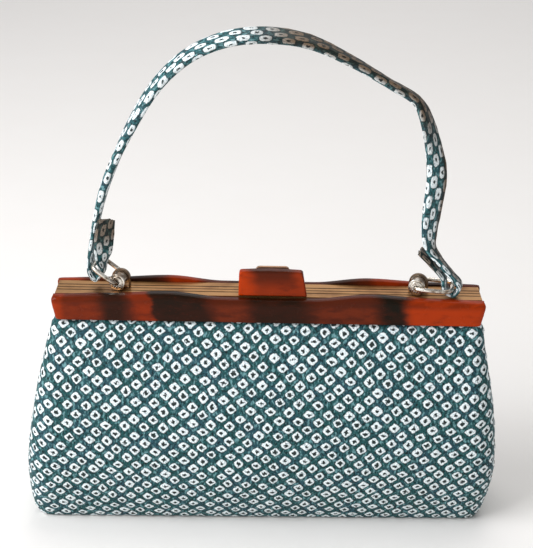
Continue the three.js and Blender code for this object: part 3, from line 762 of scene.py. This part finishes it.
# channels, block and lever: the frame's own shapes with softened edges, edge widths in mm
softShapes = {
    "front_channel": {
        "name": "frontChannel", "body": "bag", "slot": "brass", "material": brass, "edge": 0.14},
    "rear_channel": {
        "name": "rearChannel", "body": "bag", "slot": "brass", "material": brass, "edge": 0.14},
    "clasp_block": {
        "name": "claspBlock", "body": "clasp", "slot": "tortoise", "material": blockTortoise, "edge": 0.35},
    "clasp_lever": {
        "name": "claspLever", "body": "clasp", "slot": "lever_metal", "material": leverMetal, "edge": 0.3},
}
softSet = {"flatAngle": 1, "sharp": 30, "segments": 3}
pinMetals = {"hinge_pin_left": brass, "hinge_pin_right": brass, "clasp_pin": leverMetal}


def softCopy(node, spec):
    shape = bmesh.new()
    shape.from_mesh(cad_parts[node].data)
    bmesh.ops.remove_doubles(shape, verts=shape.verts[:], dist=2 * weld)
    bmesh.ops.dissolve_limit(
        shape, angle_limit=math.radians(softSet["flatAngle"]), verts=shape.verts[:], edges=shape.edges[:])
    piece = settle(spec["name"], shape, spec["material"], softSet["sharp"])
    bevel = piece.modifiers.new("edges", "BEVEL")
    bevel.width = spec["edge"] * mm
    bevel.segments = softSet["segments"]
    bevel.limit_method = "ANGLE"
    bevel.angle_limit = math.radians(softSet["sharp"])
    evened = piece.modifiers.new("normals", "WEIGHTED_NORMAL")
    evened.keep_sharp = False
    return stand(piece, spec["body"], node)


for node, spec in softShapes.items():
    softCopy(node, spec)
for node, material in pinMetals.items():
    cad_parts[node].data.materials.clear()
    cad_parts[node].data.materials.append(material)
print("channels and clasp made")


# barrels and bails, in mm and degrees
fittings = {
    "barrelX": 78.0, "barrelZ": 131.8, "turn": -14.0,
    "halfLength": 5.6, "radius": 3.9, "flange": 4.4, "boss": 3.3, "bossHeight": 0.7, "bore": 1.5,
    "flangeThickness": 1.3, "flangeStep": 0.4, "soft": 0.18,
    "segments": 48, "barrelSharp": 35,
    "ridges": (-2.3, -1.15, 0.0, 1.15, 2.3), "ridgeWidth": 0.6, "ridgeHeight": 0.3,
    "ridgeReach": 3.0, "ridgeClear": 1.45, "ridgeTurn": 30.0,
    "wire": 1.15, "halfWidth": 7.4, "belly": 0.2, "bar": 4.7, "pinDepth": 2.6,
    "elbow": 0.55, "elbowReach": 2.6, "cornerShare": 0.3,
    "wireSides": 20, "wireSteps": 120, "wireSharp": 60,
    "left": {"sign": -1, "length": 15.0, "slope": 33.0},
    "right": {"sign": 1, "length": 18.0, "slope": 2.0},
}


def fittingPlace(spec, side):
    turned = Matrix.Rotation(math.radians(spec["turn"]), 4, "Z")
    return Matrix.Translation(Vector((side["sign"] * spec["barrelX"], 0, spec["barrelZ"])) * mm) @ turned


def addRidge(shape, spec, across, middle, long, face):
    # a soft bar on an end face, half sunk in it
    size = Matrix.Diagonal((spec["ridgeWidth"], 2 * spec["ridgeHeight"], long, 1))
    turned = Matrix.Rotation(math.radians(spec["ridgeTurn"]), 4, "Y")
    place = turned @ Matrix.Translation((across, face, middle)) @ size
    bar = bmesh.ops.create_cube(shape, size=1.0, matrix=Matrix.Scale(mm, 4) @ place)["verts"]
    edges = dict.fromkeys(edge for vert in bar for edge in vert.link_edges)
    bmesh.ops.bevel(
        shape, geom=list(edges), offset=spec["soft"] * mm, segments=2, profile=0.5,
        affect="EDGES", material=-1)


def makeBarrel(name, spec, side):
    shape = bmesh.new()
    length, boss, flange, soft = spec["halfLength"], spec["boss"], spec["flange"], spec["soft"]
    flangeOut = length - spec["bossHeight"]
    flangeIn = flangeOut - spec["flangeThickness"]
    half = [
        (spec["bore"], length), (boss - soft, length), (boss, length - soft),
        (boss, flangeOut), (flange - soft, flangeOut), (flange, flangeOut - soft),
        (flange, flangeIn + soft), (flange - soft, flangeIn),
        (spec["radius"], flangeIn - spec["flangeStep"]),
    ]
    profile = half + [(r, -y) for r, y in reversed(half)]
    verts = [shape.verts.new((r * mm, y * mm, 0)) for r, y in profile]
    edges = [shape.edges.new(pair) for pair in zip(verts, verts[1:] + verts[:1])]
    bmesh.ops.spin(
        shape, geom=verts + edges, cent=(0, 0, 0), axis=(0, 1, 0), angle=2 * math.pi,
        steps=spec["segments"], use_merge=True, use_duplicate=False)
    bmesh.ops.remove_doubles(shape, verts=shape.verts[:], dist=weld)
    for across in spec["ridges"]:
        reach = math.sqrt(spec["ridgeReach"] ** 2 - across ** 2)
        clear = math.sqrt(max(spec["ridgeClear"] ** 2 - across ** 2, 0.0))
        for end in (-1, 1):
            for low, high in ((-reach, -clear), (clear, reach)):
                addRidge(shape, spec, across, (low + high) / 2, high - low, end * length)
    bmesh.ops.transform(shape, matrix=fittingPlace(spec, side), verts=shape.verts[:])
    return settle(name, shape, silver, spec["barrelSharp"])


def makeBail(name, spec, side):
    wide, bar, length = spec["halfWidth"], spec["bar"], side["length"]
    bend = wide - bar
    cut = bend * spec["cornerShare"]
    half = [
        (0, spec["halfLength"] - spec["pinDepth"]), (0, spec["halfLength"]),
        (spec["elbow"], wide - spec["elbow"]), (spec["elbowReach"], wide),
        (length / 2, wide + spec["belly"]), (length - bend, wide),
        (length - cut, wide - cut), (length, bar), (length, bar / 2),
    ]
    route = [(along, -across) for along, across in half] + half[::-1]
    places = sums(math.sqrt(math.dist(a, b)) for a, b in pairwise(route))
    steps, sides = spec["wireSteps"], spec["wireSides"]
    points = [Vector(alongTable(places, route, places[-1] * k / steps)) for k in range(steps + 1)]

    def place(column, row):
        run = (points[min(row + 1, steps)] - points[max(row - 1, 0)]).normalized()
        a = 2 * math.pi * column / sides
        flat = Vector((run.y, -run.x)) * math.cos(a) * spec["wire"]
        return Vector((points[row].x + flat.x, points[row].y + flat.y, math.sin(a) * spec["wire"]))

    shape = movedGrid(sides, steps, place)
    closeEnds(shape)
    sloped = Matrix.Rotation(-math.radians(side["slope"]), 4, "Y")
    facing = Matrix.Rotation(math.pi if side["sign"] < 0 else 0, 4, "Z")
    bmesh.ops.transform(shape, matrix=fittingPlace(spec, side) @ facing @ sloped, verts=shape.verts[:])
    return settle(name, shape, silver, spec["wireSharp"])


for side in ("left", "right"):
    stand(makeBarrel(side + "Barrel", fittings, fittings[side]), "bag", "barrel_" + side)
    stand(makeBail(side + "Bail", fittings, fittings[side]), "bag", "bail_" + side)
print("fittings made")


# handle strap: rows are (x, y, z, lean, tip, width, thickness) in mm from the left tail to the right one
strapShape = {
    "rows": [
        (-83.4, -4.3, 166.4, 2, 0, 9.2, 2.4), (-85, -3.9, 157, 3, 0, 10.4, 2.4),
        (-85.9, -1.6, 147.5, 1.6, 0, 10.2, 2.4), (-86.8, 2.4, 139.5, 0.4, 0, 9, 2.4),
        (-87.5, 3, 134.4, 0.25, 0, 9, 2.4), (-90.2, 3, 131.2, 0.25, 0, 9, 2.4),
        (-92.9, 3, 134.4, 0.25, 0, 9, 2.4), (-93.2, 3, 140, 0.25, 0, 9, 2.4),
        (-92.2, 2.6, 148, 0.2, 0, 9, 2.6), (-90.6, 2, 158, 0.12, 0, 9.6, 3),
        (-88.2, 1.2, 169, 0.08, 0, 10.4, 3.5), (-85, 0.4, 181, 0.09, 0, 11, 4),
        (-80.2, 0, 194, 0.1, 0, 11, 4.1), (-69.9, 0, 216, -0.18, 0.1, 11, 4.1),
        (-56.6, 0, 237.4, -0.2, 0.22, 11, 4.1), (-40.4, 0, 252.4, -0.18, 0.34, 11, 4.1),
        (-21.4, 0, 260.5, -0.1, 0.46, 11, 4.1), (-2, 0, 262.4, 0, 0.5, 11, 4.1),
        (17.6, 0, 259.6, 0.06, 0.27, 11, 4.1), (37.5, 0, 250.9, 0, 0.07, 11, 4.1),
        (57.8, 0, 239.3, 0, -0.08, 11, 4.1), (71.4, 0, 231.2, 0.05, 0.04, 11, 4.1),
        (75.6, -0.4, 225, 0.3, 0.15, 11, 4.1), (80.7, -1, 210, 0.85, 0.1, 11, 4.1),
        (83.9, -2, 192.5, 1.6, 0, 12, 4.1), (82.9, -2.4, 176.4, 1.6, 0, 11.6, 3.8),
        (82, -2.4, 163, 1.2, 0, 10.8, 3.4), (83.2, -2.6, 153.6, 0.7, 0, 9.8, 2.8),
        (88.4, -3.4, 146.4, 0.3, 0, 9, 2.6), (94.4, -4.2, 139.4, 0.25, 0, 9, 2.6),
        (99.2, -4.6, 133.2, 0.25, 0, 9, 2.6), (96.8, -4.6, 129.1, 0.25, 0, 9, 2.6),
        (92, -4.2, 131.2, 0.25, 0, 9, 2.6), (90.6, -3.8, 137.7, 0.25, 0, 9, 2.6),
        (85.4, -3.2, 144, 0.25, 0, 9, 2.6), (78, -2.4, 151.4, 0.3, 0, 9, 2.6),
    ],
    "columns": 72, "steps": 460,
    "widePower": 0.55, "thickPower": 0.72,  # 1 is an ellipse, less is squarer
    "plump": 0.12, "plumpFrom": 2.6,  # the padding swells it, but for its thin ends
    "crease": 0.32, "creaseAt": 0.62, "creaseWidth": 0.09,  # mm deep, at this angle from the side, in radians
    "latticeA": (4.0, 3.9), "latticeB": (-2.9, 7.0),
    "warp": 0.5, "warpSize": (14, 22), "warpSeed": 8.2,
    "dotHeight": 0.22, "dotMiddle": 0.5,
    "seamColumns": 14,      # from the seam, over which the dots set in
    "ragged": 0.9, "raggedScale": 0.8, "raggedSeeds": (0.0, 14.6),  # mm at the two cut ends
    "sharp": 75,
}


def makeStrap(spec):
    rows, steps, columns = spec["rows"], spec["steps"], spec["columns"]
    places = sums(math.sqrt(math.dist(a[:3], b[:3])) for a, b in pairwise(rows))
    stations = [alongTable(places, rows, places[-1] * k / steps) for k in range(steps + 1)]
    centres = [Vector(row[:3]) for row in stations]
    along = sums((b - a).length for a, b in pairwise(centres))
    frames = []
    for k, row in enumerate(stations):
        run = (centres[min(k + 1, steps)] - centres[max(k - 1, 0)]).normalized()
        wide = Vector((row[3], 1, row[4]))
        wide = (wide - run * wide.dot(run)).normalized()
        frames.append((wide, run.cross(wide)))

    def angleOf(column):    # counted from the middle of the inner face
        return 2 * math.pi * column / columns - math.pi / 2

    def section(row, column):
        c, s = math.cos(angleOf(column)), math.sin(angleOf(column))
        wide = row[5] / 2 * math.copysign(abs(c) ** spec["widePower"], c)
        padding = 1 + spec["plump"] * clamp(row[6] - spec["plumpFrom"])
        thick = row[6] / 2 * padding * math.copysign(abs(s) ** spec["thickPower"], s)
        return wide, thick

    standard = [section(stations[steps // 2], column) for column in range(columns + 1)]
    girth = sums(math.dist(a, b) for a, b in pairwise(standard))

    def clothPlace(column, row, _):
        return girth[column], along[row]

    def cellPlace(column, row, _):
        wide, deep = girth[column], along[row]
        (wideSize, deepSize), warp = spec["warpSize"], spec["warp"]
        wander = noise.noise_vector(Vector((wide / wideSize, deep / deepSize, spec["warpSeed"])))
        return cellsOf(
            (spec["latticeA"], spec["latticeB"]), wide + wander.x * warp, deep + wander.y * warp)

    def endShift(row, wide, thick):
        run = centres[1] - centres[0] if row == 0 else centres[-1] - centres[-2]
        scale, seed = spec["raggedScale"], spec["raggedSeeds"][row > 0]
        uneven = noise.noise(Vector((wide * scale, thick * scale, seed)))
        return run.normalized() * (uneven * spec["ragged"])

    def place(column, row):
        wide, thick = section(stations[row], column)
        across, outward = frames[row]
        dots = dotRise(cellPlace(column, row, column)) - spec["dotMiddle"]
        toSeam = min(column, columns - column)
        rise = spec["dotHeight"] * dots * clamp(toSeam / spec["seamColumns"])
        angle = abs(math.asin(math.sin(angleOf(column))))
        rise -= spec["crease"] * math.exp(-((angle - spec["creaseAt"]) / spec["creaseWidth"]) ** 2)
        swell = 1 + rise / math.hypot(wide, thick)
        centre = centres[row]
        if row in (0, steps):
            centre = centre + endShift(row, wide, thick)
        return centre + across * wide * swell + outward * thick * swell

    shape = movedGrid(columns, steps, place, {"dots": cellPlace, "cloth": clothPlace})
    closeEnds(shape, fan=True)
    print("strap length", round(along[-1]), "mm, girth", round(girth[-1], 1))
    return settle("handleStrap", shape, strapSilk, spec["sharp"])


strap = stand(makeStrap(strapShape), "bag", "handle_strap")
print("strap made")


# stage: pale floor and soft studio light, in metres and watts
stageSet = {
    "floor": rgb(236, 232, 228), "floorLight": (1, 1, 1, 1),
    "fibre": (18.0, 3.0, 0.6), "fibreShare": 0.1,
    "floorRoughness": 0.75,
    "floorSize": 8.0,
    "aim": (0.0, 0.0, 0.12),
    "world": (0.95, 0.97, 1.0, 1.0), "worldStrength": 0.47,
    "lamps": [
        {"name": "windowLight", "place": (-0.9, -0.55, 0.85),
         "size": 0.9, "power": 18.5, "colour": (0.95, 0.97, 1.0)},
        {"name": "frontFill", "place": (-0.3, -1.4, 0.4),
         "size": 1.2, "power": 1.4, "colour": (1.0, 0.97, 0.93)},
        {"name": "topLight", "place": (0.1, 0.5, 1.5),
         "size": 1.0, "power": 8.0, "colour": (1.0, 0.99, 0.97)},
        {"name": "backLight", "place": (0.1, 2.0, 1.0), "aim": (0.0, 1.9, 0.0),
         "size": 1.2, "power": 3.0, "colour": (1.0, 0.97, 0.95)},
    ],
}


def floorFinish(name, spec):
    material, start = newFinish(name)
    fibre = objectPlace(start).grain(*spec["fibre"])
    colour = (fibre * spec["fibreShare"]).tint(spec["floor"], spec["floorLight"])
    closeFinish(start, {"Base Color": colour, "Roughness": spec["floorRoughness"]})
    return material


def makeStage(spec):
    shape = bmesh.new()
    bmesh.ops.create_grid(shape, x_segments=2, y_segments=2, size=spec["floorSize"] / 2)
    floor = settle("floor", shape, floorFinish("paleFloor", spec))
    world = bpy.data.worlds.new("studio")
    world.use_nodes = True
    sky = world.node_tree.nodes["Background"]
    sky.inputs["Color"].default_value = spec["world"]
    sky.inputs["Strength"].default_value = spec["worldStrength"]
    scene.world = world
    scene.view_settings.view_transform = "Standard"
    for row in spec["lamps"]:
        aim = Vector(row.get("aim", spec["aim"]))
        data = bpy.data.lights.new(row["name"], "AREA")
        data.energy = row["power"]
        data.size = row["size"]
        data.color = row["colour"]
        lamp = bpy.data.objects.new(row["name"], data)
        lamp.location = row["place"]
        lamp.rotation_euler = (aim - lamp.location).to_track_quat("-Z", "Y").to_euler()
        scene.collection.objects.link(lamp)


makeStage(stageSet)
print("stage set")
